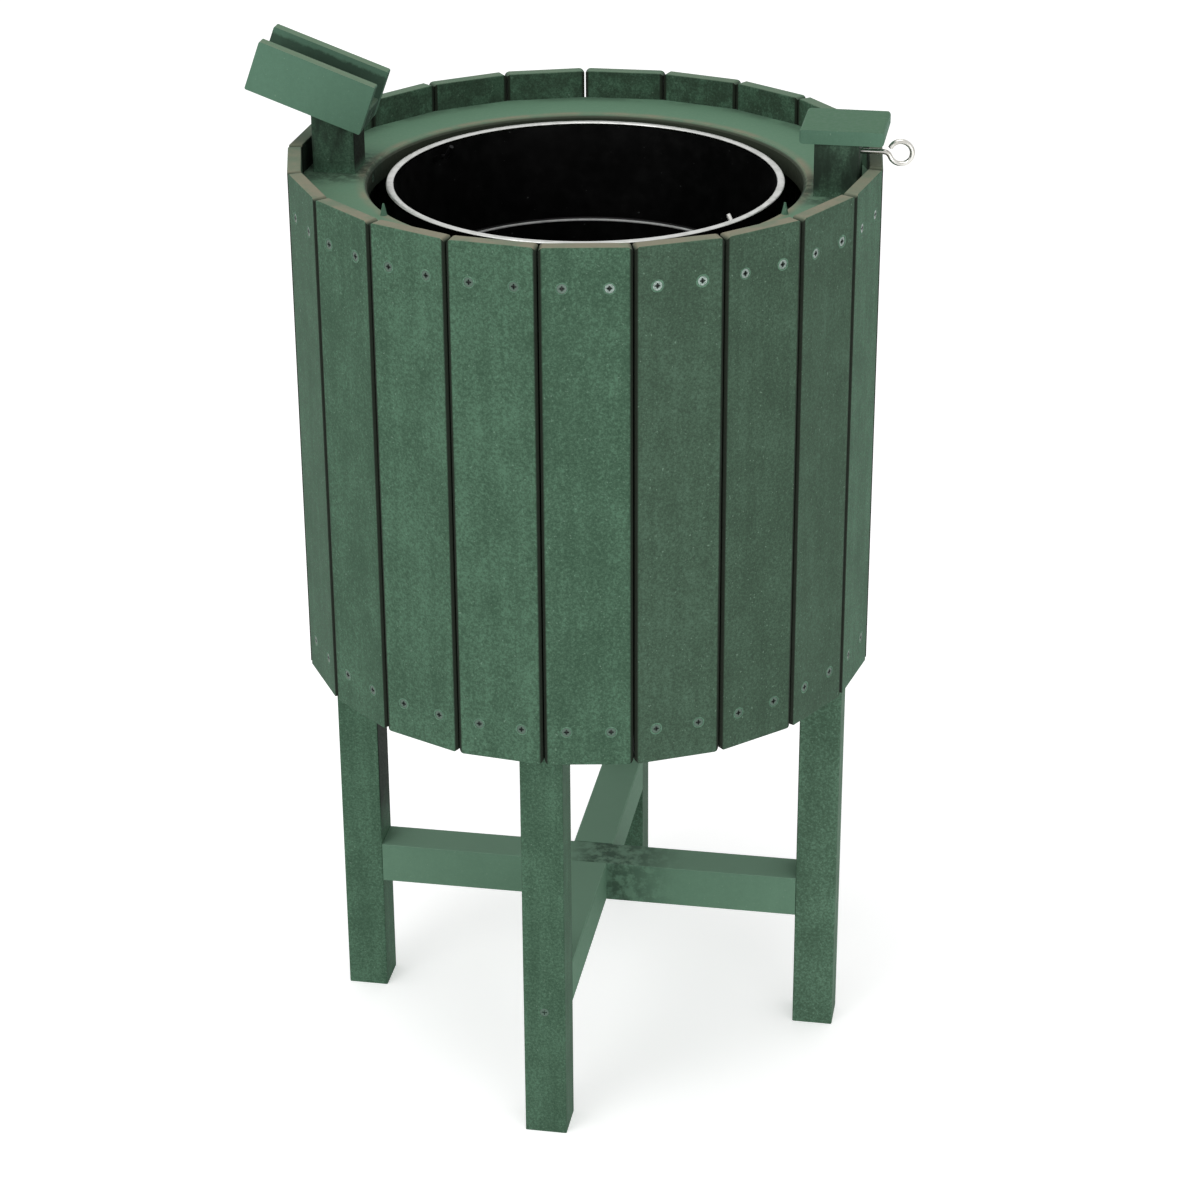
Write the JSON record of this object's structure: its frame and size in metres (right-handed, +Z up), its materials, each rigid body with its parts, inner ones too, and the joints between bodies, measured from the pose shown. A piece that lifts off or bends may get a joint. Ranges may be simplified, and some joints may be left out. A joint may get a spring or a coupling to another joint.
{
  "type": "litter bin",
  "caption": "Slatted round litter bin on square legs with a lift-out pail, a recessed deck, a tilted open holder and a capped post with an eye screw.",
  "frame": {"origin": "on the floor, on the vertical axis of the tub", "axes": "+Z up; +X towards the post with the cap board and the eye screw; -Y towards the front leg"},
  "size_m": [0.5767, 0.5154, 0.9468],
  "materials": {
    "green_lumber": "recycled plastic lumber, finely mottled, dull",
    "dowel_wood": "plain turned dowel",
    "screw_steel": "zinc-plated countersunk screws",
    "bright_steel": "bright drawn wire",
    "rim_steel": "bare rolled rim",
    "pail_black": "black enamel, satin",
    "handle_steel": "black-coated wire and ears"
  },
  "bodies": {
    "stand": {"stave_01": "green_lumber", "stave_02": "green_lumber", "stave_03": "green_lumber", "stave_04": "green_lumber", "stave_05": "green_lumber", "stave_06": "green_lumber", "stave_07": "green_lumber", "stave_08": "green_lumber", "stave_09": "green_lumber", "stave_10": "green_lumber", "stave_11": "green_lumber", "stave_12": "green_lumber", "stave_13": "green_lumber", "stave_14": "green_lumber", "stave_15": "green_lumber", "stave_16": "green_lumber", "stave_17": "green_lumber", "stave_18": "green_lumber", "stave_19": "green_lumber", "stave_20": "green_lumber", "stave_21": "green_lumber", "deck_ring": "green_lumber", "rim_stops": "green_lumber", "base_ring": "green_lumber", "floor_slat_front": "green_lumber", "floor_slat_mid_front": "green_lumber", "floor_slat_mid_rear": "green_lumber", "floor_slat_rear": "green_lumber", "leg_left": "green_lumber", "leg_right": "green_lumber", "leg_front": "green_lumber", "leg_rear": "green_lumber", "brace_long": "green_lumber", "brace_front": "green_lumber", "brace_rear": "green_lumber", "brace_dowel": "dowel_wood", "holder_plate_front": "green_lumber", "holder_plate_rear": "green_lumber", "holder_floor": "green_lumber", "holder_dowels": "dowel_wood", "cap_board": "green_lumber", "eye_screw": "bright_steel", "stave_screws_top": "screw_steel", "stave_screws_bottom": "screw_steel", "leg_screws": "screw_steel", "brace_screws": "screw_steel", "slat_screws": "screw_steel", "holder_screws": "screw_steel", "cap_dowel": "dowel_wood", "leg_dowels": "dowel_wood"},
    "pail": {"pail_body": "pail_black", "pail_base": "pail_black", "pail_rim": "rim_steel", "pail_ears": "handle_steel", "ear_rivets": "handle_steel"},
    "handle": {"pail_handle": "handle_steel"}
  },
  "joints": [
    {"name": "pail_lift", "type": "slide", "parent": "stand", "child": "pail", "axis": [0, 0, 1], "range_m": [0, 0.5]},
    {"name": "handle_swing", "type": "hinge", "parent": "pail", "child": "handle", "pos_m": [0, 0, 0.818], "axis": [0.8746, -0.4848, 0], "range_deg": [0, 220]}
  ]
}
